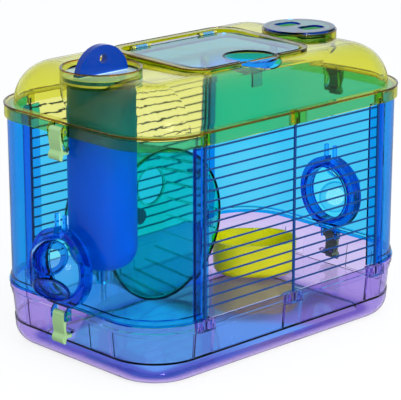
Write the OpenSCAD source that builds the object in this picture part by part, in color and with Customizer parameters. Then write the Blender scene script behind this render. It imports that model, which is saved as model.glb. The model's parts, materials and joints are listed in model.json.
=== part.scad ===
// Portable small animal cage: tray, two end shells, two wire grilles, domed lid and fittings.
// Millimetres. X runs along the front, the front faces -Y, Z is up, z = 0 is the floor.

/* [Cage] */
// Length over the lid rim
cage_l = 406; // [390:1:420]
// Depth over the lid rim
cage_w = 270; // [262:1:280]
// Corner radius of the lid rim in plan
corner_r = 64; // [62:1:68]
// Wall thickness of the moulded pieces
wall = 2.4; // [2:0.1:2.8]
// Gap between fixed pieces that fit together
fit_gap = 0.4; // [0.3:0.05:0.6]

/* [Tray] */
// Height of the tray rim
tray_h = 67; // [62:1:72]
// Height of the raised tray floor
floor_z = 27.5; // [22:0.5:28]
// Rounding of the tray's bottom edge
foot_r = 20; // [16:0.5:22]
// Inset of the tray wall at the rounding, from the lid rim
tray_inset = 6.5; // [5:0.5:8]
// Depth of the sunk panels in the tray wall
panel_in = 1.1; // [0.8:0.1:1.2]

/* [Lid] */
// Height of the lid's lower edge
skirt_z = 252; // [246:1:262]
// Height of the lid skirt
skirt_h = 14; // [12:0.5:18]
// Width of the ledge between skirt and dome
ledge_w = 10; // [8:0.5:12]
// Height of the dome's flat top
dome_z = 310; // [306:0.5:314]

/* [Door] */
// Distance of the roof door from the lid's ends
door_end_in = 124; // [122:1:132]
// Distance of the roof door from the lid's front
door_front_in = 59; // [58:1:64]
// Distance of the roof door from the lid's back
door_back_in = 91; // [90:1:96]
// Thickness of the roof door
door_t = 3; // [2.5:0.1:3.5]
// Radius of the finger scoop's rim
scoop_r = 29; // [26:0.5:32]
// Depth of the finger scoop
scoop_d = 18; // [12:0.5:20]

/* [Bottle and ports] */
// Distance of the bottle and of the roof port from the lid's ends
port_in = 55; // [53:1:59]
// Outer radius of the bottle collar
collar_r = 43; // [42:0.5:45]
// Bottle radius
bottle_r = 36; // [34:0.5:37]
// Height of the bottle's lower end
bottle_z = 99; // [94:1:110]
// Height of the end ports' axis
port_z = 111; // [110:0.5:120]
// Bore radius of the end ports
port_r = 33.5; // [31:0.5:34]

/* [Wheel and bowl] */
// Distance of the wheel's axle from the bottle's axis
wheel_in = 113.5; // [112:0.5:120]
// Clearance of the wheel over the tray floor
wheel_lift = 2; // [1.5:0.5:8]
// Radius of the wheel's open rim
wheel_r = 86; // [70:1:86]
// Depth of the wheel drum
wheel_w = 78; // [60:1:80]
// Radius of the bowl's rounded ends
bowl_r = 37; // [30:1:40]
// Half of the straight part of the bowl
bowl_s = 12; // [8:1:16]
// Height of the bowl
bowl_h = 40.5; // [30:0.5:44]

/* [Grille] */
// Pitch of the level wires
wire_pitch = 11.25; // [10:0.25:14]
// Radius of the level wires
wire_r = 1; // [0.8:0.1:1.2]
// Radius of the upright rods
rod_r = 1.6; // [1.4:0.1:1.8]
// Distance of the outer rods inside the corner centres
rod_in = 8; // [6:0.5:10]
// Shift of the front rods to the right, and of the back rods to the left
rod_shift = 6; // [0:0.5:7]

/* [Latches] */
// Width of each latch
latch_w = 18; // [14:1:22]
// Radius of the hinge pins
pin_r = 1.5; // [1.2:0.1:1.8]
// Running clearance round a pin
pin_gap = 0.05; // [0.02:0.01:0.09]

/* [Hidden] */
$fn = 64;
// Corner centres shared by every outline
cx = cage_l / 2 - corner_r;
cy = cage_w / 2 - corner_r;
// Offsets from the corner centres
skirt_in = corner_r - wall;
shell_u = skirt_in - fit_gap - 0.2;
tray_u = corner_r - tray_inset;
tray_top_u = corner_r - 2.7;
flange_u = corner_r - 1.5;
// Lid heights
ledge_z = skirt_z + skirt_h;
arc_z = ledge_z - wall;
dome_r = dome_z - arc_z;
arc_u = corner_r - ledge_w - dome_r;
// Shells
shell_bot = tray_h + fit_gap;
shell_top = arc_z - 1.6;
post_top = skirt_z - 0.6;
post_u = 53.6 - 64 + corner_r;
// Grille plane
rod_u = skirt_in - fit_gap - rod_r;
wire_u = rod_u - rod_r - wire_r + 0.4;
rod_x = cx - rod_in;
// Shell edges beside the outer rods: the short side runs past the corner, the long side stops inside it
edge_gap = 4.5;
edge_short = rod_x + edge_gap - rod_shift;
edge_long = rod_x + edge_gap + rod_shift;
clip_z = tray_h - 12;
rod_bot = clip_z + 2;
rod_top = skirt_z + 6;
socket_half = 11;
pillar_t = 3.4;
// Latches
hinge_x = cage_l / 2 + 5;
upper_z = ledge_z - 8;
lower_z = tray_h - 7;
cheek_y = latch_w / 2 + fit_gap + 0.4;
// Door
door_l = cage_l - 2 * door_end_in;
door_w = cage_w - door_front_in - door_back_in;
door_back = cage_w / 2 - door_back_in;
door_front = door_back - door_w;
door_z = dome_z + 0.9;
frame_top = door_z + door_t + 2.4;
hinge_y = door_back + 4;
hinge_z = door_z + door_t;
knuckle_r = 3;
knuckle_w = 16;
knuckle_x = door_l / 2 - 37;
ear_w = 4.6;
pin_end = knuckle_x + knuckle_w + fit_gap + ear_w;
scoop_x = 5;
scoop_y = door_front + 12;
// Bottle
port_x = cage_l / 2 - port_in;
collar_top = dome_z + 5;
seat_z = collar_top - 14;
bottle_top = collar_top - 7;
neck_r = 12;
// Ports on the shell ends
port_face = cx + shell_u + 7;
dome_out = port_r + 0.5;
window_r = 11;
rim_r = 19.4;
ring_in = port_r + 3.5;
ring_out = ring_in + 6;
// Roof port
plug_r = 40;
roof_r = 38;
roof_top = collar_top - 1;
plug_t = 2.6;
slot_l = 30;
slot_w = 20;
slot_r = 8;
slot_x = 5;
slot_y = 15.2;
// Wheel
grille_in = cy + wire_u - wire_r - fit_gap;
wheel_x = wheel_in - port_x;
wheel_z = floor_z + wheel_lift + wheel_r;
wheel_back = grille_in - 22;
// Round sunk panes in the wheel's back plate, each inside a raised rim
pane_at = 0.59 * wheel_r;
pane_r = 21;
pane_t = 1.2;
pane_rim = 1.8;
// From the axle up to the nearest mid-gap between two wires
between_wires = (skirt_z - 5 - wheel_z) % wire_pitch - wire_pitch / 2;
axle_r = 4;
hub_y = wheel_back - 30;
// Half width of the wheel at the height of the bowl's rim
wheel_reach = sqrt(pow(wheel_r, 2) - pow(wheel_z - floor_z - bowl_h, 2));
// Bowl, a little under half way from the wheel to the right-hand wall
bowl_x = (wheel_x + wheel_reach + cx + tray_u) / 2 - 5.6;
bowl_y = 32.3;
bowl_foot = 8;

// Rounded rectangle in plan
module rr(l, w, r) {
  square([l - 2 * r, w], center = true);
  square([l, w - 2 * r], center = true);
  for (x = [-1, 1], y = [-1, 1])
    translate([x * (l / 2 - r), y * (w / 2 - r)])
      circle(r);
}

// Plate with the cage outline, u outside the corner centres
module slab(u, z0, h) {
  translate([0, 0, z0])
    linear_extrude(h)
      rr(2 * (cx + u), 2 * (cy + u), u);
}

// Profile (u, z) swept round the four corners and sides
module sweep() {
  for (mx = [0, 1], my = [0, 1])
    mirror([mx, 0, 0])
      mirror([0, my, 0])
        translate([cx, cy, 0])
          rotate_extrude(angle = 90)
            children();
  for (my = [0, 1])
    mirror([0, my, 0])
      translate([-cx, cy, 0])
        rotate([90, 0, 90])
          linear_extrude(2 * cx)
            children();
  for (mx = [0, 1])
    mirror([mx, 0, 0])
      translate([cx, cy, 0])
        rotate([90, 0, 0])
          linear_extrude(2 * cy)
            children();
}

// Profile (u, z) swept round the right-hand end only
module end_sweep() {
  for (my = [0, 1])
    mirror([0, my, 0])
      translate([cx, cy, 0])
        rotate_extrude(angle = 90)
          children();
  translate([cx, cy, 0])
    rotate([90, 0, 0])
      linear_extrude(2 * cy)
        children();
}

// Bar along Y, centred on y = 0, from an outline in (x, z)
module bar_y(w) {
  translate([0, w / 2, 0])
    rotate([90, 0, 0])
      linear_extrude(w)
        children();
}

// Cylinder along X from x0 to x1
module rod_along_x(x0, x1, r) {
  translate([x0, 0, 0])
    rotate([0, 90, 0])
      cylinder(h = x1 - x0, r = r);
}

// Cylinder along Y from y0 to y1
module rod_along_y(y0, y1, r) {
  translate([0, y0, 0])
    rotate([-90, 0, 0])
      cylinder(h = y1 - y0, r = r);
}

// Places children at the grille rods, front and back
module at_rods(places = [-rod_x, 0, rod_x]) {
  for (x = places, a = [0, 180])
    rotate([0, 0, a])
      translate([x - rod_shift, cy, 0])
        children();
}

// Tray wall section
module tray_section() {
  difference() {
    union() {
      translate([tray_u - foot_r, foot_r])
        circle(foot_r);
      translate([tray_u - foot_r - 14, 0])
        square([14, wall]);
      polygon([[tray_u - foot_r, foot_r], [tray_u, foot_r], [tray_top_u, tray_h - 7],
        [flange_u, tray_h - 5.5], [flange_u, tray_h], [tray_u - foot_r, tray_h]]);
    }
    translate([tray_u - foot_r, foot_r])
      circle(foot_r - wall);
    polygon([[0, foot_r], [tray_u - wall, foot_r], [tray_top_u - wall, tray_h - 7],
      [tray_top_u - wall, tray_h + 1], [0, tray_h + 1]]);
    translate([0, wall])
      square([tray_u - foot_r, foot_r]);
  }
}

// Socket block that holds an upright rod
module rod_block(u0, u1, half, z0, z1) {
  translate([-half, u0, z0])
    cube([2 * half, u1 - u0, z1 - z0]);
}

// Tray socket of a rod: a solid boss between two pockets open below
module socket_block() {
  boss = 5;
  difference() {
    rod_block(tray_u - 3, corner_r, socket_half, clip_z, tray_h - 0.5);
    for (m = [0, 1])
      mirror([m, 0, 0])
        translate([boss, tray_u - 1.2, clip_z - 1])
          cube([socket_half - 1.8 - boss, tray_inset - 0.4, tray_h - 1.3 - clip_z]);
  }
}

// Thicker wall from the tray floor up to a socket
module socket_pillar() {
  rise = (tray_top_u - tray_u) / (tray_h - 7 - foot_r);
  z0 = floor_z - 1;
  z1 = clip_z - 0.8;
  u0 = tray_u + rise * (z0 - foot_r) - 1;
  u1 = tray_u + rise * (z1 - foot_r) - 1;
  translate([-socket_half - 1, 0, 0])
    rotate([90, 0, 90])
      linear_extrude(2 * socket_half + 2)
        polygon([[u0 - pillar_t, z0], [u0, z0], [u1, z1], [u1 - pillar_t, z1]]);
}

// Outline in (u, z) of what a sunk panel takes off the tray wall
module panel_cut() {
  rise = (tray_top_u - tray_u) / (tray_h - 7 - foot_r);
  z0 = floor_z + 1;
  z1 = tray_h - 11.5;
  polygon([[tray_u + rise * (z0 - foot_r) - panel_in, z0], [corner_r + 9, z0],
    [corner_r + 9, z1], [tray_u + rise * (z1 - foot_r) - panel_in, z1]]);
}

// Sunk panels between the rods on both long sides
module side_panels() {
  long0 = socket_half + 1.5;
  long1 = rod_x - socket_half - 1.5;
  at_rods([0])
    for (m = [0, 1])
      mirror([m, 0, 0])
        translate([long0, 0, 0])
          rotate([90, 0, 90])
            linear_extrude(long1 - long0)
              panel_cut();
}

// Sunk panels of one quarter: round the corner through angle a and on the end
module corner_panels(a) {
  end0 = 34;
  end1 = cy - 5.5;
  translate([cx, cy, 0])
    rotate_extrude(angle = a)
      panel_cut();
  translate([cx, end1, 0])
    rotate([90, 0, 0])
      linear_extrude(end1 - end0)
        panel_cut();
}

module base_tray() {
  color([0.5, 0.38, 0.8, 0.6])
    difference() {
      union() {
        difference() {
          sweep()
            tray_section();
          for (mx = [0, 1], my = [0, 1])
            mirror([mx, 0, 0])
              mirror([0, my, 0])
                corner_panels(mx == my ? 88 : 80);
          side_panels();
        }
        slab(tray_u - 1.2, floor_z - wall, wall);
        at_rods() {
          socket_block();
          socket_pillar();
        }
        for (m = [0, 1])
          mirror([m, 0, 0])
            latch_catch(lower_z, tray_u - 1);
      }
      at_rods()
        translate([0, rod_u, rod_bot - fit_gap])
          cylinder(h = tray_h, r = rod_r + 0.15);
    }
}

// Rib that a latch hooks under, starting inside the wall at offset u
module latch_catch(z, u) {
  translate([cx + u, -latch_w / 2 + 0.5, z - 21.1])
    cube([hinge_x - 5.4 - cx - u, latch_w - 1, 3.1]);
}

// Shell section, a little wider at the top
module shell_section() {
  polygon([[shell_u - 1 - wall, shell_bot], [shell_u + 2.2, shell_bot],
    [shell_u + 2.2, shell_bot + 2.4], [shell_u - 0.9, shell_bot + 2.4],
    [shell_u - 0.9, shell_bot + 5.6], [shell_u + 0.6, shell_bot + 6.2],
    [shell_u + 0.6, shell_bot + 7.4], [shell_u - 0.9, shell_bot + 8], [shell_u, shell_top],
    [shell_u - wall, shell_top]]);
}

// Cheeks that carry a lower latch pin
module lower_cheek() {
  for (m = [0, 1])
    mirror([0, m, 0])
      translate([0, cheek_y + wall / 2, 0])
        bar_y(wall)
          polygon([[cx + shell_u - 3, shell_bot], [hinge_x - 3.8, shell_bot],
            [hinge_x - 3.8, lower_z - 5], [hinge_x + 4, lower_z - 5],
            [hinge_x + 4, lower_z + 4], [hinge_x - 1, shell_bot + 3],
            [cx + shell_u - 3, shell_bot + 3]]);
}

module end_shell() {
  difference() {
    union() {
      difference() {
        union() {
          end_sweep()
            shell_section();
          translate([edge_short, cy, 0])
            rotate([90, 0, 90])
              linear_extrude(cx - edge_short)
                shell_section();
        }
        translate([0, -cage_w, 0])
          cube([edge_long, cage_w, dome_z]);
      }
      for (side = [[edge_short, 0], [edge_long, 1]])
        mirror([0, side[1], 0]) {
          translate([side[0], cy + post_u, shell_bot])
            cube([7.5, shell_u - 1.2 - post_u, post_top - shell_bot]);
          translate([side[0] - 13, cy + post_u, shell_bot])
            cube([14, wall, post_top - shell_bot]);
        }
      translate([0, 0, port_z])
        rod_along_x(cx + shell_u - 2, port_face, port_r + 3);
      latch_catch(upper_z, shell_u - 1.5);
      lower_cheek();
    }
    translate([0, 0, port_z])
      rod_along_x(cx, port_face + 1, port_r);
    translate([hinge_x, 0, lower_z])
      rod_along_y(-30, 30, pin_r + pin_gap);
  }
}

module left_end_shell() {
  color([0.05, 0.5, 0.95, 0.45])
    rotate([0, 0, 180])
      end_shell();
}

module right_end_shell() {
  color([0.05, 0.5, 0.95, 0.45])
    end_shell();
}

module grille() {
  for (x = [-rod_x, 0, rod_x])
    translate([x + rod_shift, -cy - rod_u, rod_bot])
      cylinder(h = rod_top - rod_bot, r = rod_r, $fn = 24);
  for (z = [skirt_z - 5 : -wire_pitch : tray_h + 6])
    translate([rod_shift, -cy - wire_u, z])
      rod_along_x(-rod_x, rod_x, wire_r, $fn = 16);
}

module front_grille() {
  color([0.04, 0.2, 0.5])
    grille();
}

module back_grille() {
  color([0.04, 0.2, 0.5])
    rotate([0, 0, 180])
      grille();
}

// Lid section: skirt, ledge and quarter-round dome
module lid_section() {
  translate([skirt_in, skirt_z])
    square([wall, skirt_h]);
  translate([corner_r - ledge_w - wall, arc_z])
    square([ledge_w + wall, wall]);
  intersection() {
    difference() {
      translate([arc_u, arc_z])
        circle(dome_r, $fn = 96);
      translate([arc_u, arc_z])
        circle(dome_r - wall, $fn = 96);
    }
    translate([arc_u, arc_z])
      square(dome_r + 1);
  }
}

// Room under the dome, up to height top
module under_dome(top) {
  intersection() {
    union() {
      sweep()
        intersection() {
          translate([arc_u, arc_z])
            circle(dome_r - wall, $fn = 96);
          translate([arc_u, arc_z])
            square(dome_r + 1);
        }
      slab(arc_u + 0.2, arc_z, dome_z - wall - arc_z);
    }
    translate([-cage_l, -cage_w, 0])
      cube([2 * cage_l, 2 * cage_w, top]);
  }
}

// Collar of the bottle and ring of the roof port, short under the dome
module roof_tubes() {
  difference() {
    union() {
      translate([-port_x, 0, ledge_z + 6])
        cylinder(h = collar_top - ledge_z - 6, r = collar_r);
      translate([port_x, 0, ledge_z + 6])
        cylinder(h = roof_top - ledge_z - 6, r = roof_r + 4);
    }
    under_dome(seat_z - wall);
  }
}

// Raised frame round the roof door, in plan
module frame_plan(side, front, back, r) {
  translate([0, (door_front + door_back + back - front) / 2])
    rr(door_l + 2 * side, door_w + front + back, r);
}

// Raised frame, level with the door in front and higher behind it
module door_frame() {
  low = door_z + door_t - 0.6;
  difference() {
    translate([0, 0, dome_z - wall])
      linear_extrude(frame_top - dome_z + wall)
        difference() {
          frame_plan(12, 5, 20, 26);
          frame_plan(2, 2, 11, 18);
        }
    translate([-door_l, 0, 0])
      rotate([90, 0, 90])
        linear_extrude(2 * door_l)
          polygon([[door_front - 40, low], [door_front - 6, low], [door_back - 20, frame_top],
            [door_back, frame_top + 9], [door_front - 40, frame_top + 9]]);
  }
}

// Cheeks that carry an upper latch pin
module upper_cheek() {
  for (m = [0, 1])
    mirror([0, m, 0])
      translate([0, cheek_y + wall / 2, 0])
        bar_y(wall)
          polygon([[cage_l / 2 - 1, ledge_z - 1], [hinge_x, ledge_z - 1],
            [hinge_x + 4, upper_z + 2], [hinge_x + 3, upper_z - 8],
            [cage_l / 2 + 2, upper_z - 23], [cage_l / 2 + 0.4, skirt_z],
            [cage_l / 2 - 1, skirt_z]]);
}

// Lid ears that hold the door pin
module door_ears() {
  for (m = [0, 1], x = [knuckle_x - fit_gap - ear_w, knuckle_x + knuckle_w + fit_gap])
    mirror([m, 0, 0])
      translate([x, 0, 0]) {
        translate([0, hinge_y, hinge_z])
          rod_along_x(0, ear_w, knuckle_r);
        translate([0, hinge_y - knuckle_r, dome_z - 1])
          cube([ear_w, 2 * knuckle_r, hinge_z - dome_z + 1]);
      }
}

module dome_lid() {
  color([0.86, 0.84, 0.25, 0.55])
    difference() {
      union() {
        difference() {
          union() {
            sweep()
              lid_section();
            slab(arc_u, dome_z - wall, wall);
            roof_tubes();
            door_frame();
          }
          translate([-port_x, 0, skirt_z])
            cylinder(h = 100, r = collar_r - wall);
          translate([port_x, 0, skirt_z])
            cylinder(h = 100, r = roof_r);
          translate([0, (door_front + door_back) / 2, dome_z - 10])
            linear_extrude(20)
              rr(door_l - 18, door_w - 18, 12);
          translate([scoop_x, scoop_y, ledge_z + 10])
            cylinder(h = 60, r = scoop_r + 4.5);
        }
        difference() {
          translate([-port_x, 0, seat_z - wall])
            cylinder(h = wall, r = collar_r - 1);
          translate([-port_x, 0, seat_z - wall - 1])
            cylinder(h = wall + 2, r = bottle_r + 1.2);
        }
        door_ears();
        for (mx = [0, 1])
          mirror([mx, 0, 0])
            upper_cheek();
        at_rods()
          rod_block(rod_u - 4, corner_r - 0.5, 4, skirt_z + 0.6, arc_z + 1);
        at_rods([0])
          rod_block(rod_u + 1.2, corner_r + 0.9, 12, skirt_z + 0.6, ledge_z - 2);
      }
      at_rods()
        translate([0, rod_u, skirt_z - 10])
          cylinder(h = 10 + rod_top - skirt_z + fit_gap, r = rod_r + 0.15);
      for (x = [-hinge_x, hinge_x])
        translate([x, 0, upper_z])
          rod_along_y(-30, 30, pin_r + pin_gap);
      translate([0, hinge_y, hinge_z])
        rod_along_x(-pin_end - 5, pin_end + 5, pin_r + pin_gap);
    }
}

// Finger scoop: a shallow spherical dish, rim at z = 0
module dish() {
  rs = (scoop_r * scoop_r + scoop_d * scoop_d) / (2 * scoop_d);
  rotate_extrude()
    intersection() {
      difference() {
        translate([0, rs - scoop_d])
          circle(rs + 2, $fn = 128);
        translate([0, rs - scoop_d])
          circle(rs, $fn = 128);
      }
      translate([0, -scoop_d - 5])
        square([scoop_r + 1, scoop_d + 5]);
    }
}

module top_door() {
  color([0.25, 0.55, 0.85, 0.6])
    difference() {
      union() {
        difference() {
          translate([0, (door_front + door_back) / 2, door_z])
            linear_extrude(door_t)
              rr(door_l, door_w, 18);
          translate([scoop_x, scoop_y, door_z - 1])
            cylinder(h = door_t + 2, r = scoop_r - 0.5);
        }
        difference() {
          translate([scoop_x, scoop_y, door_z + door_t])
            dish();
          translate([scoop_x, door_front, door_z + door_t])
            rotate([-45, 0, 0])
              translate([-50, -60, 0])
                cube([100, 60, 40]);
        }
        translate([scoop_x - 7, scoop_y - 11, door_z + door_t - scoop_d - 14])
          cube([14, wall, 14.6]);
        for (x = [-knuckle_x - knuckle_w, knuckle_x]) {
          translate([x, hinge_y, hinge_z])
            rod_along_x(0, knuckle_w, knuckle_r);
          translate([x, door_back - 2, door_z])
            cube([knuckle_w, 6, door_t]);
        }
      }
      translate([0, hinge_y, hinge_z])
        rod_along_x(-pin_end - 5, pin_end + 5, pin_r + pin_gap);
    }
}

module door_pin() {
  color([0.7, 0.72, 0.75])
    translate([0, hinge_y, hinge_z])
      rod_along_x(-pin_end, pin_end, pin_r);
}

// Bottle half section (r, z), open at the neck
module bottle_section() {
  difference() {
    union() {
      translate([0, bottle_top - 4.4])
        square([collar_r - wall - 0.6, 4.4]);
      translate([0, bottle_z + bottle_r - neck_r])
        square([bottle_r, bottle_top - bottle_z - bottle_r + neck_r - 2]);
      translate([neck_r, bottle_z + bottle_r - neck_r])
        circle(bottle_r - neck_r);
      translate([0, bottle_z])
        square([neck_r, bottle_r]);
    }
    translate([0, bottle_z + bottle_r - neck_r])
      square([bottle_r - 2, bottle_top - bottle_z - bottle_r + neck_r - 4]);
    translate([neck_r, bottle_z + bottle_r - neck_r])
      circle(bottle_r - neck_r - 2);
    translate([0, bottle_z + 2])
      square([neck_r, bottle_r]);
    translate([-1, bottle_z - 1])
      square([6, 10]);
    translate([-100, 0])
      square([100, 500]);
  }
}

module bottle_body() {
  color([0.02, 0.33, 0.85])
    translate([-port_x, 0, 0])
      difference() {
        union() {
          rotate_extrude()
            bottle_section();
          intersection() {
            translate([0, 0, bottle_top - 3.5])
              rod_along_y(-4, 4, bottle_r - 2, $fn = 96);
            translate([-50, -10, bottle_top - 1])
              cube([100, 20, 60]);
          }
        }
        translate([0, 0, bottle_top + 16])
          rod_along_y(-10, 10, 5);
      }
}

module bottle_seal() {
  color([0.85, 0.87, 0.9])
    translate([-port_x, 0, seat_z + fit_gap])
      difference() {
        cylinder(h = bottle_top - 4.4 - seat_z - fit_gap, r = collar_r - wall - 0.8);
        translate([0, 0, -1])
          cylinder(h = 10, r = bottle_r + 0.1);
      }
}

module bottle_neck() {
  color([0.8, 0.9, 0.97, 0.6])
    translate([-port_x, 0, 0])
      difference() {
        union() {
          translate([0, 0, bottle_z - 17])
            cylinder(h = 17, r = 8);
          translate([0, 0, bottle_z])
            cylinder(h = 6, r = 4.9);
        }
        translate([0, 0, bottle_z - 18])
          cylinder(h = 30, r = 3.1);
      }
}

module sipper_tube() {
  color([0.75, 0.77, 0.8])
    translate([-port_x, 0, 0])
      difference() {
        translate([0, 0, bottle_z - 37])
          cylinder(h = 38, r = 3);
        translate([0, 0, bottle_z - 38])
          cylinder(h = 60, r = 2.2);
      }
}

module sipper_ball() {
  color([0.8, 0.82, 0.85])
    translate([-port_x, 0, bottle_z - 36.4])
      sphere(2.1);
}

module port_plug() {
  color([0.08, 0.3, 0.75, 0.8])
    translate([port_x, 0, roof_top + fit_gap])
      rotate([0, 0, -8])
        difference() {
          union() {
            cylinder(h = plug_t, r = plug_r);
            difference() {
              union() {
                translate([0, 0, -12])
                  cylinder(h = 12.5, r = roof_r - 0.5);
                for (m = [0, 1])
                  mirror([m, 0, 0])
                    translate([roof_r - 3.4, -5, -24])
                      cube([2.5, 10, 13]);
              }
              translate([0, 0, -30])
                cylinder(h = 30, r = roof_r - 2.9);
            }
            for (m = [-1, 1])
              translate([-m * slot_x, m * slot_y, -8])
                linear_extrude(9)
                  rr(slot_l + 3.2, slot_w + 3.2, slot_r + 1.6);
          }
          for (m = [-1, 1])
            translate([-m * slot_x, m * slot_y, -6.4])
              linear_extrude(20)
                rr(slot_l, slot_w, slot_r);
        }
}

// Places children on the three window axes of a bubble, first window at angle a
module at_windows(a) {
  for (k = [0, 120, 240])
    rotate([a + k, 0, 0])
      rotate([0, 45, 0])
        children();
}

// Half section (r, z) of a window: thin pane, dished web and standing rim
module window_section() {
  t = dome_out - 9.6;
  polygon([[0, t], [window_r, t], [rim_r, t + 1.6], [rim_r, t + 4.6], [rim_r - 2, t + 4.6],
    [rim_r - 2, t + 3.2], [window_r, t + 1.8], [window_r, t + 1.4], [0, t + 1.4]]);
}

// Bubble for the right-hand port, axis along X, with three rimmed windows
module bubble(a) {
  x0 = port_face + 0.3;
  translate([0, 0, port_z])
    union() {
      difference() {
        rotate([0, 90, 0])
          rotate_extrude() {
            translate([port_r - 2.5, cx + shell_u - 4])
              square([2, x0 - cx - shell_u + 5]);
            translate([port_r - 2.5, x0])
              square([5.5, 2.2]);
            intersection() {
              difference() {
                translate([0, x0 + 2])
                  circle(dome_out, $fn = 96);
                translate([0, x0 + 2])
                  circle(dome_out - 2, $fn = 96);
              }
              translate([0, x0 + 2])
                square(60);
            }
          }
        translate([x0 + 2, 0, 0])
          at_windows(a)
            rod_along_x(10, 60, rim_r - 1.4);
      }
      translate([x0 + 2, 0, 0])
        at_windows(a)
          rotate([0, 90, 0])
            rotate_extrude()
              window_section();
    }
}

module left_bubble() {
  color([0.03, 0.4, 0.9, 0.6])
    mirror([1, 0, 0])
      bubble(88);
}

module right_bubble() {
  color([0.03, 0.4, 0.9, 0.6])
    bubble(45);
}

// Split ring that holds a bubble on the right-hand port
module lock_ring() {
  x0 = cx + shell_u + 0.6;
  x1 = port_face + 2.9;
  translate([0, 0, port_z])
    difference() {
      union() {
        rod_along_x(x0, x1 + 2, ring_out);
        for (m = [0, 1])
          mirror([0, m, 0])
            translate([x0 + 2, 5, ring_in + 1])
              cube([5, 3, 19]);
      }
      rod_along_x(x0 - 1, x1, ring_in);
      rod_along_x(x0 - 1, x1 + 3, dome_out + 0.6);
      translate([x0 - 1, -5, 0])
        cube([x1 - x0 + 9, 10, 2 * ring_out]);
      translate([x0 - 1, -ring_out, -port_z])
        cube([x1 - x0 + 9, 2 * ring_out, shell_bot + 3.8]);
    }
}

module left_lock_ring() {
  color([0.02, 0.25, 0.75, 0.75])
    mirror([1, 0, 0])
      lock_ring();
}

module right_lock_ring() {
  color([0.02, 0.25, 0.75, 0.75])
    lock_ring();
}

// Right-hand latch with its pin hole at height z
module latch(z) {
  translate([hinge_x, 0, z])
    difference() {
      union() {
        rod_along_y(-latch_w / 2, latch_w / 2, 4.2);
        bar_y(latch_w)
          polygon([[-3, -1.8], [4.1, -0.8], [4.6, -5], [4.7, -9], [4.4, -13], [3.7, -17],
            [3.1, -20], [3.6, -21.6], [4.9, -23], [5.7, -25], [5.8, -27], [5.2, -29],
            [3.9, -30.6], [2.6, -31], [1.5, -30.4], [1.2, -28], [0.8, -26], [0, -24.8],
            [-6.8, -24.8], [-6.8, -21.6], [-0.2, -21.6], [0.8, -18], [1.2, -14], [1, -9],
            [0, -6], [-3, -4]]);
      }
      rod_along_y(-latch_w, latch_w, pin_r + pin_gap + 0.01);
    }
}

module upper_left_latch() {
  color([0.62, 0.83, 0.45])
    mirror([1, 0, 0])
      latch(upper_z);
}

module upper_right_latch() {
  color([0.62, 0.83, 0.45])
    latch(upper_z);
}

module lower_left_latch() {
  color([0.62, 0.83, 0.45])
    mirror([1, 0, 0])
      latch(lower_z);
}

module lower_right_latch() {
  color([0.62, 0.83, 0.45])
    latch(lower_z);
}

// Latch pin on the right-hand side
module latch_pin(z) {
  color([0.7, 0.72, 0.75])
    translate([hinge_x, 0, z])
      rod_along_y(-cheek_y - wall, cheek_y + wall, pin_r);
}

module upper_left_pin() {
  mirror([1, 0, 0])
    latch_pin(upper_z);
}

module upper_right_pin() {
  latch_pin(upper_z);
}

module lower_left_pin() {
  mirror([1, 0, 0])
    latch_pin(lower_z);
}

module lower_right_pin() {
  latch_pin(lower_z);
}

// Wheel half section (r, distance from the back plate towards the front)
module wheel_section() {
  polygon([[axle_r + 1, 0], [wheel_r - 8, 0], [wheel_r, wheel_w], [wheel_r - 3.5, wheel_w],
    [wheel_r - 3.5, wheel_w - 2], [wheel_r - 2.2, wheel_w - 3], [wheel_r - 9.8, wall],
    [axle_r + 1, wall]]);
  translate([axle_r + 0.06, 0])
    square([5, 30]);
}

// Tread rung standing out of the drum's inside
module rung() {
  bar_y(1.8)
    polygon([[wheel_r - 12, 1], [wheel_r - 8.9, 1], [wheel_r - 1.4, wheel_w - 4],
      [wheel_r - 4.4, wheel_w - 4]]);
}

module exercise_wheel() {
  color([0.1, 0.7, 0.65, 0.55])
    translate([wheel_x, wheel_back, wheel_z])
      rotate([90, 0, 0])
        difference() {
          union() {
            rotate_extrude($fn = 96)
              wheel_section();
            for (a = [0 : 15 : 345])
              rotate([0, 0, a])
                rung();
            for (a = [23, 203])
              rotate([0, 0, a])
                translate([pane_at, 0, 0])
                  cylinder(h = wall + pane_rim, r = pane_r + pane_rim);
          }
          for (a = [23, 203])
            rotate([0, 0, a])
              translate([pane_at, 0, pane_t])
                cylinder(h = 8, r = pane_r);
        }
}

// Bracket hung on the back grille, with the wheel's axle
module wheel_bracket() {
  color([0.03, 0.35, 0.3])
    translate([wheel_x, 0, wheel_z]) {
      rod_along_y(hub_y - 4, grille_in - 2, axle_r);
      rod_along_y(wheel_back + 1.5, grille_in - 2, 2 * axle_r);
      translate([-3 * axle_r, grille_in - wall - 1, -wheel_r / 3])
        cube([6 * axle_r, wall + 1, wheel_r / 1.5]);
      for (k = [-2, 2])
        translate([-8, grille_in - 1, k * wire_pitch + between_wires - 1.5])
          cube([16, 2 * wire_r + 3, 3]);
    }
}

module wheel_cap() {
  color([0.02, 0.3, 0.26])
    translate([wheel_x, 0, wheel_z])
      difference() {
        rod_along_y(hub_y - 7, hub_y - 0.5, 9);
        rod_along_y(hub_y - 4 - fit_gap, hub_y + 1, axle_r + 0.02);
      }
}

// Bowl half section (r, z)
module bowl_section() {
  r0 = bowl_r - bowl_foot - 1.5;
  difference() {
    union() {
      square([r0, bowl_h]);
      translate([r0, bowl_foot])
        circle(bowl_foot);
      polygon([[0, bowl_foot], [r0 + bowl_foot, bowl_foot], [bowl_r, bowl_h], [0, bowl_h]]);
    }
    translate([-1, wall])
      square([r0 + 1, bowl_h]);
    translate([r0, bowl_foot])
      circle(bowl_foot - wall);
    polygon([[0, bowl_foot], [r0 + bowl_foot - wall, bowl_foot], [bowl_r - wall, bowl_h + 0.1],
      [0, bowl_h + 0.1]]);
    translate([-50, -1])
      square([50, bowl_h + 2]);
  }
}

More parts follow.
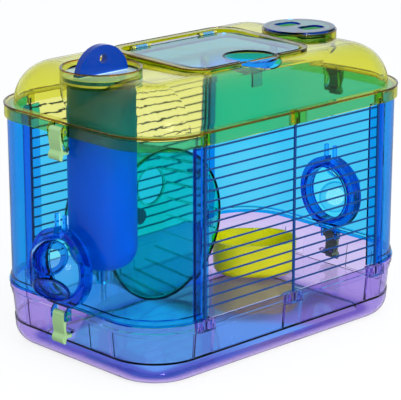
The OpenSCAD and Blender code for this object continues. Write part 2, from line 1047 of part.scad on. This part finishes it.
module food_bowl() {
  color([0.86, 0.82, 0.05])
    translate([bowl_x, bowl_y, floor_z + 0.3])
      rotate([0, 0, -44]) {
        for (m = [0, 1])
          mirror([m, 0, 0])
            translate([bowl_s, 0, 0])
              rotate([0, 0, -90])
                rotate_extrude(angle = 180, $fn = 96)
                  bowl_section();
        for (m = [0, 1])
          mirror([0, m, 0])
            translate([-bowl_s, 0, 0])
              rotate([90, 0, 90])
                linear_extrude(2 * bowl_s)
                  bowl_section();
      }
}

base_tray();
left_end_shell();
right_end_shell();
front_grille();
back_grille();
dome_lid();
top_door();
door_pin();
bottle_body();
bottle_seal();
bottle_neck();
sipper_tube();
sipper_ball();
port_plug();
left_bubble();
right_bubble();
left_lock_ring();
right_lock_ring();
upper_left_latch();
upper_right_latch();
lower_left_latch();
lower_right_latch();
upper_left_pin();
upper_right_pin();
lower_left_pin();
lower_right_pin();
exercise_wheel();
wheel_bracket();
wheel_cap();
food_bowl();
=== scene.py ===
"""Portable small animal cage: finishes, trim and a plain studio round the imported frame.

Metres, +Z up, the front grille faces -Y, the bottle end is at -X.
"""
import json
import math

import bmesh
import bpy
from mathutils import Matrix, Vector


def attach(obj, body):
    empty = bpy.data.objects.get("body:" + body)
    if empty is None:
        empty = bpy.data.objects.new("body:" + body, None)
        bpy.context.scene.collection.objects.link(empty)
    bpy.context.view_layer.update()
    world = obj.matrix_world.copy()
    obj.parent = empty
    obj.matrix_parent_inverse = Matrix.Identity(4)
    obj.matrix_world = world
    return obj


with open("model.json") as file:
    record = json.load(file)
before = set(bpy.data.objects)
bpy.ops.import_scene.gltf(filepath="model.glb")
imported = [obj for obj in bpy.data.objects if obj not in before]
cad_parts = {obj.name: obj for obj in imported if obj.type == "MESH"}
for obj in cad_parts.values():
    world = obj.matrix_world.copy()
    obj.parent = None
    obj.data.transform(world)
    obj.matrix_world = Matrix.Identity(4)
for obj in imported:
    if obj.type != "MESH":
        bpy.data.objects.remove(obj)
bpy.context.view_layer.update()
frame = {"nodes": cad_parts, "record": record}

MM = 0.001
QUARTER = math.pi / 2
UPRIGHT = (0.0, 0.0, 1.0)
WHITE = (1.0, 1.0, 1.0)

# Half length and half width of the middle block that all rounded walls of the cage follow
BLOCK = (139.0 * MM, 71.0 * MM)
# Middle of an end bubble, and of the bottle's collar and the roof port
BUBBLE_X = 209.5 * MM
BUBBLE_Z = 111.0 * MM
ROOF_RING_X = 148.0 * MM


# Shader values and finishes

class Value:
    """A shader socket; arithmetic on it adds nodes to the same tree."""

    def __init__(self, finish, socket):
        self.finish, self.socket = finish, socket

    def maths(self, operation, a, b=0.0):
        return self.finish.add("ShaderNodeMath", {"operation": operation}, {0: a, 1: b})["Value"]

    def __add__(self, other):
        return self.maths("ADD", self, other)

    def __sub__(self, other):
        return self.maths("SUBTRACT", self, other)

    def __rsub__(self, other):
        return self.maths("SUBTRACT", other, self)

    def __mul__(self, other):
        return self.maths("MULTIPLY", self, other)

    def __pow__(self, other):
        return self.maths("POWER", self, other)

    def __abs__(self):
        return self.maths("ABSOLUTE", self)

    def __lt__(self, other):
        return self.maths("LESS_THAN", self, other)

    __radd__ = __add__
    __rmul__ = __mul__

    def at_least(self, other):
        return self.maths("MAXIMUM", self, other)

    def at_most(self, other):
        return self.maths("MINIMUM", self, other)

    def ease(self, low, high):
        """Soft step from 0 at low to 1 at high."""
        return self.finish.add("ShaderNodeMapRange", {"interpolation_type": "SMOOTHSTEP"}, {
            "Value": self, "From Min": low, "From Max": high})["Result"]


class Made:
    """A node just added: its outputs by name or number, as values."""

    def __init__(self, finish, node):
        self.finish, self.node = finish, node

    def __getitem__(self, name):
        return Value(self.finish, self.node.outputs[name])


class Finish:
    """A node tree for one surface finish, or for the world."""

    def __init__(self, tree):
        self.tree = tree
        tree.nodes.clear()

    def add(self, kind, settings=None, sockets=None):
        """One node: its settings are set first, then its sockets get values or links."""
        node = self.tree.nodes.new(kind)
        for name, value in (settings or {}).items():
            setattr(node, name, value)
        for name, value in (sockets or {}).items():
            if isinstance(value, Value):
                self.tree.links.new(value.socket, node.inputs[name])
            else:
                node.inputs[name].default_value = value
        return Made(self, node)


def new_finish(name):
    material = bpy.data.materials.new(name)
    material.use_nodes = True
    return material, Finish(material.node_tree)


def close(f, shader, volume=None):
    out = {"Surface": shader}
    if volume is not None:
        out["Volume"] = volume
    f.add("ShaderNodeOutputMaterial", {}, out)


def spot(f, kind="Object"):
    """Coordinates of the shaded point, apart."""
    place = f.add("ShaderNodeTexCoord")[kind]
    return f.add("ShaderNodeSeparateXYZ", {}, {"Vector": place})


def noise(f, scale, detail):
    """Noise on the piece's own coordinates, from 0 to 1."""
    place = f.add("ShaderNodeTexCoord")["Object"]
    return f.add("ShaderNodeTexNoise", {}, {
        "Vector": place, "Scale": scale, "Detail": detail, "Roughness": 0.5})["Fac"]


def mix(f, factor, a, b):
    """Colour a where factor is 0, b where it is 1; a Mix node takes colours at 6 and 7."""
    a, b = [c if isinstance(c, Value) else (*c, 1.0) for c in (a, b)]
    return f.add("ShaderNodeMix", {"data_type": "RGBA"}, {"Factor": factor, 6: a, 7: b})[2]


def grey(level):
    return (level, level, level)


def dot(a, b):
    return a.finish.add("ShaderNodeVectorMath", {"operation": "DOT_PRODUCT"}, {0: a, 1: b})["Value"]


def bump(f, height, strength, distance):
    return f.add("ShaderNodeBump", {}, {
        "Height": height, "Strength": strength, "Distance": distance})["Normal"]


# Masks by place on the cage

def past_block(part):
    """Distance of a point from the middle block."""
    along, across = [(abs(part[axis]) - half).at_least(0.0) for axis, half in zip("XY", BLOCK)]
    return (along * along + across * across) ** 0.5


def tray_floor_mask(f):
    """1 on the raised floor of the tray, inside its walls, else 0."""
    part = spot(f)
    level = f.add("ShaderNodeMath", {"operation": "COMPARE"}, {
        0: part["Z"], 1: 26.3 * MM, 2: 1.6 * MM})["Value"]
    return (past_block(part) < 55.2 * MM) * level


def shell_under_lid_shade_mask(f):
    """0 high on the back side of the shells, where painted shade under the yellow lid tints them
    deeper, else 1.
    """
    part = spot(f)
    return 1.0 - part["Y"].ease(30.0 * MM, 110.0 * MM) * part["Z"].ease(130.0 * MM, 190.0 * MM)


def bubble_web_shade_mask(side, first):
    """Maker of a mask: 0 on the dished webs round the three windows of an end bubble, which get a
    deeper tint as painted shade, else 1.

    side is -1 for the left bubble and 1 for the right; first is its first window's turn, in degrees.
    """
    def mask(f):
        place = f.add("ShaderNodeTexCoord")["Object"]
        arm = f.add("ShaderNodeVectorMath", {"operation": "SUBTRACT"}, {
            0: place, 1: (side * BUBBLE_X, 0.0, BUBBLE_Z)})["Vector"]
        square = dot(arm, arm)
        webs = 0.0
        for turn in (0, 120, 240):
            a = math.radians(first + turn)
            along = dot(arm, Vector((side, math.sin(a), -math.cos(a))).normalized())
            off = (square - along * along) ** 0.5
            web = off.ease(10.6 * MM, 11.4 * MM) * (1.0 - off.ease(19.2 * MM, 19.9 * MM))
            webs = web * along.ease(14.0 * MM, 16.0 * MM) + webs
        return 1.0 - webs
    return mask


def ring_end_glow_mask(f):
    """1 on the cut ends of a lock ring, where a painted glow stands in for light gathered along the
    ring, else 0.
    """
    part = spot(f)
    middle = 1.0 - abs(part["Y"]).ease(5.1 * MM, 5.4 * MM)
    return middle * part["Z"].ease(140.0 * MM, 144.0 * MM)


# Finishes

def clear_plastic(name, through, wall=2.4 * MM, rough=0.03, wave=0.25, shine=0.3,
                  pale=None, deep=None, lit=None):
    """Clear moulded plastic; through is the light that one wall lets pass.

    pale, if given, is a mask maker: outside its mask the surface is tinted deep as well; on the
    shells and the end bubbles that deeper tint is painted shade.
    lit, if given, is a mask maker: inside its mask the surface gets a painted glow, standing in for
    light gathered in the plastic.
    """
    material, f = new_finish(name)
    loss = [-math.log(c) / wall for c in through]
    density = max(loss)
    colour = [1.0 - a / density for a in loss]
    flow = noise(f, 16.0, 1.0)
    scuff = noise(f, 240.0, 3.0)
    skin = mix(f, flow, grey(0.97), WHITE)
    if pale:
        skin = mix(f, pale(f), deep, skin)
    sockets = {
        "Base Color": skin,
        "Roughness": rough + scuff * rough * 0.6,
        "IOR": 1.45,
        "Specular Tint": (*grey(shine), 1.0),
        "Transmission Weight": 1.0,
        "Normal": bump(f, flow, wave, 1.5 * MM)}
    # painted glow: emission on the plastic, which is no lamp
    if lit:
        sockets["Emission Color"] = mix(f, lit(f), grey(0.0), (0.0, 0.07, 0.38))
        sockets["Emission Strength"] = 1.0
    surface = f.add("ShaderNodeBsdfPrincipled", {}, sockets)
    inside = f.add("ShaderNodeVolumeAbsorption", {}, {"Color": (*colour, 1.0), "Density": density})
    close(f, surface["BSDF"], inside["Volume"])
    return material


def solid_plastic(name, base, deep, rough=0.22, coat=0.3):
    """Opaque moulded plastic with faint flow marks and a soft shine."""
    material, f = new_finish(name)
    flow = noise(f, 22.0, 3.0)
    grain = noise(f, 900.0, 2.0)
    surface = f.add("ShaderNodeBsdfPrincipled", {}, {
        "Base Color": mix(f, flow, deep, base),
        "Roughness": rough + grain * 0.08,
        "IOR": 1.5,
        "Coat Weight": coat,
        "Coat Roughness": 0.08,
        "Normal": bump(f, grain + flow * 2.0, 0.12, 0.2 * MM)})
    close(f, surface["BSDF"])
    return material


def bottle_plastic(name):
    """Blue bottle plastic: painted shade makes it deeper towards its top, where the yellow lid
    covers it; deepest in the fin; a painted reflection makes the flat top pale.
    """
    material, f = new_finish(name)
    height = spot(f)["Z"]
    under_lid_shade = height.ease(225.0 * MM, 290.0 * MM)
    fin = height.ease(306.0 * MM, 312.0 * MM)
    flat_top_sheen = height.ease(307.0 * MM, 307.6 * MM) * (1.0 - height.ease(308.4 * MM, 309.0 * MM))
    flow = noise(f, 22.0, 3.0)
    grain = noise(f, 900.0, 2.0)
    colour = mix(f, flow, (0.001, 0.25, 0.82), (0.002, 0.28, 0.90))
    # painted shade: deeper blue high on the bottle, under the yellow lid
    colour = mix(f, under_lid_shade, colour, (0.001, 0.13, 0.86))
    colour = mix(f, fin, colour, (0.0005, 0.038, 0.32))
    # painted reflection: the flat top is pale
    colour = mix(f, flat_top_sheen, colour, (0.60, 0.85, 1.0))
    surface = f.add("ShaderNodeBsdfPrincipled", {}, {
        "Base Color": colour,
        "Roughness": 0.3 + grain * 0.1 - fin * 0.2 - flat_top_sheen * 0.2,
        "IOR": 1.45,
        "Specular IOR Level": 0.3,
        "Normal": bump(f, grain + flow * 2.0, 0.1, 0.2 * MM)})
    close(f, surface["BSDF"])
    return material


def coated_wire(name, base, deep):
    """Wire under a glossy dipped coat, a little uneven."""
    material, f = new_finish(name)
    dip = noise(f, 130.0, 3.0)
    surface = f.add("ShaderNodeBsdfPrincipled", {}, {
        "Base Color": mix(f, dip, deep, base),
        "Roughness": 0.24 + dip * 0.14,
        "Specular IOR Level": 0.2,
        "Normal": bump(f, dip, 0.2, 0.2 * MM)})
    close(f, surface["BSDF"])
    return material


def bright_steel(name):
    """Drawn steel with a fine grain."""
    material, f = new_finish(name)
    grain = noise(f, 1400.0, 2.0)
    surface = f.add("ShaderNodeBsdfPrincipled", {}, {
        "Base Color": mix(f, grain, (0.62, 0.63, 0.66), (0.74, 0.75, 0.78)),
        "Metallic": 1.0,
        "Roughness": 0.2 + grain * 0.15})
    close(f, surface["BSDF"])
    return material


def soft_rubber(name, base, deep):
    """Matt rubber with a fine grain."""
    material, f = new_finish(name)
    grain = noise(f, 700.0, 3.0)
    surface = f.add("ShaderNodeBsdfPrincipled", {}, {
        "Base Color": mix(f, grain, deep, base),
        "Roughness": 0.6 + grain * 0.2,
        "Normal": bump(f, grain, 0.3, 0.2 * MM)})
    close(f, surface["BSDF"])
    return material


# By material slot; each end bubble has a finish of its own, by its node's name
finishes = {
    "tray_purple": clear_plastic("tray_purple", (0.93, 0.90, 0.972), wave=0.2,
                                 pale=tray_floor_mask, deep=(0.68, 0.60, 0.925)),
    # shells: tinted deeper high at the back, painted shade under the yellow lid
    "shell_blue": clear_plastic("shell_blue", (0.09, 0.63, 0.94), shine=0.1,
                                pale=shell_under_lid_shade_mask, deep=(0.2, 0.92, 1.0)),
    "lid_yellow": clear_plastic("lid_yellow", (0.865, 0.87, 0.30), wave=0.4, shine=0.1),
    "door_blue": clear_plastic("door_blue", (0.22, 0.62, 0.97), wall=3.0 * MM),
    "plug_blue": clear_plastic("plug_blue", (0.10, 0.45, 0.80), wall=4.0 * MM),
    # end bubbles: the webs round the windows get a deeper tint, painted shade
    "left_bubble": clear_plastic("left_bubble", (0.10, 0.72, 0.97), wall=2.0 * MM, shine=0.15,
                                 pale=bubble_web_shade_mask(-1.0, 88), deep=(0.12, 0.42, 0.82)),
    "right_bubble": clear_plastic("right_bubble", (0.10, 0.72, 0.97), wall=2.0 * MM, shine=0.15,
                                  pale=bubble_web_shade_mask(1.0, 45), deep=(0.50, 0.78, 0.94)),
    # lock rings: painted glow on the cut ends
    "ring_blue": clear_plastic("ring_blue", (0.20, 0.62, 0.92), wall=4.0 * MM, lit=ring_end_glow_mask),
    "wheel_teal": clear_plastic("wheel_teal", (0.03, 0.82, 0.62), shine=0.15),
    "neck_clear": clear_plastic("neck_clear", (0.80, 0.90, 0.96), wall=4.0 * MM, rough=0.12),
    "bottle_blue": bottle_plastic("bottle_blue"),
    "bowl_yellow": solid_plastic("bowl_yellow", (0.80, 0.76, 0.002), (0.76, 0.71, 0.001),
                                 rough=0.35, coat=0.0),
    "latch_green": solid_plastic("latch_green", (0.40, 0.68, 0.28), (0.36, 0.62, 0.24)),
    "wheel_dark": solid_plastic("wheel_dark", (0.005, 0.11, 0.09), (0.004, 0.08, 0.07)),
    "grille_navy": coated_wire("grille_navy", (0.003, 0.055, 0.25), (0.002, 0.035, 0.17)),
    "steel": bright_steel("steel"),
    "seal_rubber": soft_rubber("seal_rubber", (0.70, 0.72, 0.75), (0.60, 0.62, 0.66)),
}
lid_edge = clear_plastic("lid_edge", (0.78, 0.34, 0.05), wall=2.0 * MM, wave=0.1)

for part in frame["record"]["subparts"]:
    piece = frame["nodes"][part["node"]]
    piece.data.materials.clear()
    piece.data.materials.append(finishes.get(part["node"]) or finishes[part["material_slot"]])


# Amber edge beads of the lid

def lid_bead(name, shape):
    """A bead shaped in a bmesh: named, given its finish and tied to the cage."""
    mesh = bpy.data.meshes.new(name)
    b = bmesh.new()
    shape(b)
    bmesh.ops.remove_doubles(b, verts=b.verts, dist=0.02 * MM)
    bmesh.ops.recalc_face_normals(b, faces=b.faces)
    for face in b.faces:
        face.smooth = True
    b.to_mesh(mesh)
    b.free()
    mesh.materials.append(lid_edge)
    piece = bpy.data.objects.new(name, mesh)
    bpy.context.collection.objects.link(piece)
    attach(piece, "cage")


def bead_section(b, x, y, z, thick):
    """Round section of a bead that starts off along Y."""
    start = Matrix.Translation((x, y, z)) @ Matrix.Rotation(QUARTER, 4, "X")
    bmesh.ops.create_circle(b, cap_ends=False, segments=10, radius=thick, matrix=start)


def bead_round(b, half_x, half_y, corner, thick):
    """Bead along a rectangle with rounded corners, in the plane z = 0."""
    bead_section(b, half_x, corner - half_y, 0.0, thick)
    edges = b.edges[:]
    for side in range(4):
        turn = Matrix.Rotation(side * QUARTER, 3, "Z")
        across = (half_x, half_y)[side % 2] - corner
        along = (half_y, half_x)[side % 2] - corner
        moved = bmesh.ops.extrude_edge_only(b, edges=edges)["geom"]
        bmesh.ops.translate(b, verts=[g for g in moved if isinstance(g, bmesh.types.BMVert)],
                            vec=turn @ Vector((0.0, 2.0 * along, 0.0)))
        swept = bmesh.ops.spin(b, geom=[g for g in moved if not isinstance(g, bmesh.types.BMFace)],
                               cent=turn @ Vector((across, along, 0.0)), axis=UPRIGHT,
                               angle=QUARTER, steps=14)["geom_last"]
        edges = [g for g in swept if isinstance(g, bmesh.types.BMEdge)]


def bead_ring(b, x, z, radius, thick):
    """Bead along a level circle."""
    bead_section(b, x + radius, 0.0, z, thick)
    bmesh.ops.spin(b, geom=b.verts[:] + b.edges[:], cent=(x, 0.0, z), axis=UPRIGHT,
                   angle=4.0 * QUARTER, steps=64, use_merge=True)


def skirt_bead(b):
    """Along the skirt's lower edge."""
    bead_round(b, 202.7 * MM, 134.7 * MM, 63.7 * MM, 1.0 * MM)
    bmesh.ops.translate(b, verts=b.verts, vec=(0.0, 0.0, 265.6 * MM))


def frame_bead(b):
    """Along the door frame's outer edge: level behind, sloping down to the front."""
    level_y, slope_run, slope_drop = 24.0 * MM, 106.0 * MM, 3.0 * MM
    bead_round(b, 90.4 * MM, 71.9 * MM, 25.4 * MM, 0.9 * MM)
    bmesh.ops.translate(b, verts=b.verts, vec=(0.0, -8.5 * MM, 315.9 * MM))
    for v in b.verts:
        v.co.z -= slope_drop * min(1.0, max(0.0, (level_y - v.co.y) / slope_run))


lid_bead("lid_skirt_bead", skirt_bead)
lid_bead("door_frame_bead", frame_bead)
lid_bead("bottle_collar_bead",
         lambda b: bead_ring(b, -ROOF_RING_X, 314.8 * MM, 42.3 * MM, 0.9 * MM))
lid_bead("roof_port_bead",
         lambda b: bead_ring(b, ROOF_RING_X, 313.6 * MM, 41.5 * MM, 0.9 * MM))


# Studio

def seen_through(f):
    """1 where the eye looks straight at the studio or through clear plastic, else 0."""
    path = f.add("ShaderNodeLightPath")
    return path["Is Camera Ray"].at_least(path["Is Transmission Ray"])


def studio_world():
    """White to the eye; as a light and in reflections a grey room with a bright backdrop."""
    world = bpy.data.worlds.new("studio")
    bpy.context.scene.world = world
    world.use_nodes = True
    f = Finish(world.node_tree)
    part = spot(f, "Generated")
    towards_backdrop = part["X"] * 0.69 + part["Y"] * 0.72
    walls = mix(f, towards_backdrop * 0.8 + 0.5, (0.62, 0.64, 0.66), (1.12, 1.17, 1.26))
    room = mix(f, part["Z"] * 1.1, walls, (0.60, 0.66, 0.74))
    sight = mix(f, seen_through(f), room, WHITE)
    light = f.add("ShaderNodeBackground", {}, {"Color": sight, "Strength": 1.0})
    f.add("ShaderNodeOutputWorld", {}, {"Surface": light["Background"]})


def floor_painted_light(f):
    """Colour of the floor to the eye: painted shadow and painted pools of coloured light under the
    clear tray, pale all round it.
    """
    part = spot(f)
    x, y, past = part["X"], part["Y"], past_block(part)
    right = (x + y.at_most(0.0) * 0.8).ease(-10.0 * MM, 25.0 * MM)
    right_edge = x.ease(-90.0 * MM, 10.0 * MM)
    # painted shadow in violet, brown, deep blue and deep violet, and a painted pool of blue light,
    # as if light came through the blue shell
    violet, brown, blue = (0.32, 0.26, 0.58), (0.10, 0.08, 0.14), (0.15, 0.52, 0.90)
    deep_blue, deep_violet = (0.08, 0.15, 0.58), (0.24, 0.18, 0.56)
    paint = mix(f, y.ease(-65.0 * MM, -30.0 * MM), violet, brown)
    paint = mix(f, right, blue, paint)
    paint = mix(f, past.ease(0.0, 14.0 * MM) * (1.0 - right_edge), paint, deep_blue)
    paint = mix(f, past.ease(18.0 * MM, 30.0 * MM) * right_edge, paint, deep_violet)
    return mix(f, past.ease(30.0 * MM, 41.0 * MM), paint, grey(0.84))


def floor():
    """Plain pale floor that reads as white and takes the shadow of the cage; under the tray it
    carries painted shadow and painted coloured light.
    """
    mesh = bpy.data.meshes.new("floor")
    b = bmesh.new()
    bmesh.ops.create_grid(b, x_segments=1, y_segments=1, size=12.0)
    bmesh.ops.translate(b, verts=b.verts, vec=(0.0, 0.0, -0.6 * MM))
    b.to_mesh(mesh)
    b.free()
    piece = bpy.data.objects.new("floor", mesh)
    bpy.context.collection.objects.link(piece)
    material, f = new_finish("floor_pale")
    speck = noise(f, 3.0, 1.0)
    paper = f.add("ShaderNodeBsdfDiffuse", {}, {"Color": mix(f, speck, grey(0.44), grey(0.46))})
    shade = f.add("ShaderNodeBsdfDiffuse", {}, {"Color": mix(f, speck, grey(0.18), grey(0.19))})
    # to the eye the floor glows pale, with the painted shadow and light under the tray
    glow = f.add("ShaderNodeEmission", {}, {"Color": floor_painted_light(f), "Strength": 1.0})
    sight = f.add("ShaderNodeAddShader", {}, {0: shade["BSDF"], 1: glow["Emission"]})
    both = f.add("ShaderNodeMixShader", {}, {
        "Fac": seen_through(f), 1: paper["BSDF"], 2: sight["Shader"]})
    close(f, both["Shader"])
    piece.data.materials.append(material)


def soft_light(name, place, aim, size, watts):
    """Round soft lamp at a place, turned to its aim."""
    data = bpy.data.lights.new(name, "AREA")
    data.shape, data.size, data.energy = "DISK", size, watts
    lamp = bpy.data.objects.new(name, data)
    lamp.location = place
    lamp.rotation_mode = "QUATERNION"
    lamp.rotation_quaternion = (Vector(aim) - Vector(place)).to_track_quat("-Z", "Y")
    bpy.context.collection.objects.link(lamp)


def photo_camera(azimuth, elevation, distance, focal_px, aside, height):
    """Camera at the photograph's angle; aside and height place its target."""
    photo_width_px, sensor_mm = 401.0, 36.0
    a, e = math.radians(azimuth), math.radians(elevation)
    back = Vector((math.sin(a) * math.cos(e), -math.cos(a) * math.cos(e), math.sin(e)))
    right = Vector((math.cos(a), math.sin(a), 0.0))
    up = back.cross(right)
    data = bpy.data.cameras.new("camera")
    data.sensor_width = sensor_mm
    data.lens = focal_px * sensor_mm / photo_width_px
    data.clip_end = 60.0
    camera = bpy.data.objects.new("camera", data)
    turn = Matrix((right, up, back)).transposed().to_4x4()
    target = right * aside + Vector((0.0, 0.0, height))
    camera.matrix_world = Matrix.Translation(target + back * distance) @ turn
    bpy.context.collection.objects.link(camera)
    bpy.context.scene.camera = camera


studio_world()
floor()
soft_light("key", (-1.8, -1.4, 2.0), (0.0, 0.0, 0.15), 1.2, 14.0)
soft_light("front_fill", (-0.5, -2.3, 0.9), (0.05, 0.0, 0.1), 1.0, 40.0)
photo_camera(-43.813, 16.215, 2.2417, 2033.97, -0.0044, 0.1422)
bpy.context.scene.view_settings.view_transform = "Standard"
